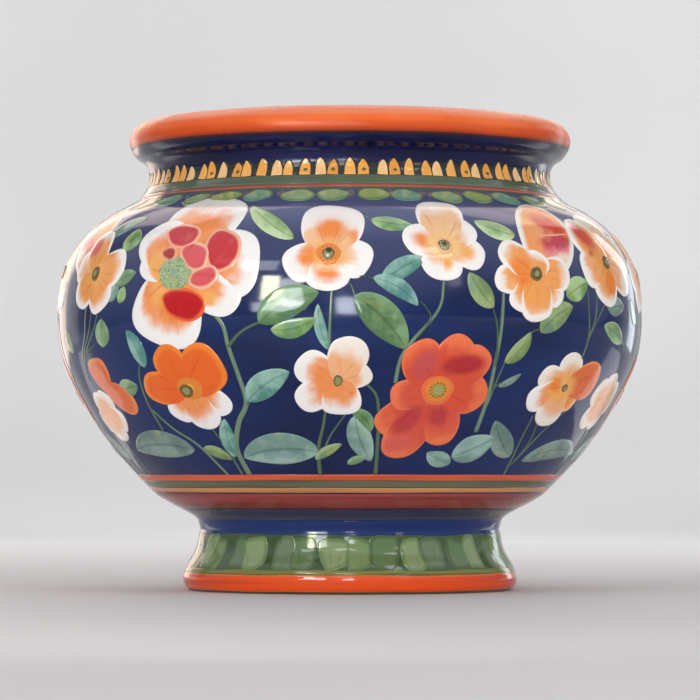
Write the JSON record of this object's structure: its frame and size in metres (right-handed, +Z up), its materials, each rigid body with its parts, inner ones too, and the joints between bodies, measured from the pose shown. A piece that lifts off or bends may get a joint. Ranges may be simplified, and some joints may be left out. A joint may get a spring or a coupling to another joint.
{
  "type": "footed round-bellied vase",
  "caption": "Round-bellied glazed earthenware vase with a short waisted neck, a rolled rim and a flared foot, hand-painted with flowers and leaves on a dark blue ground.",
  "frame": {"origin": "centre of the foot's standing face, on the wheel axis", "axes": "+Z up along the axis of revolution, out of the mouth; -Y is the painted front"},
  "size_m": [0.2604, 0.2604, 0.2072],
  "materials": {
    "foot_glaze": "gloss",
    "belly_glaze": "gloss",
    "neck_glaze": "gloss",
    "rim_glaze": "gloss",
    "flower_enamel": "gloss",
    "leaf_enamel": "gloss",
    "band_enamel": "gloss"
  },
  "bodies": {
    "root": {"foot": "foot_glaze", "lower_bowl": "belly_glaze", "shoulder": "belly_glaze", "neck": "neck_glaze", "rolled_rim": "rim_glaze"}
  },
  "joints": []
}
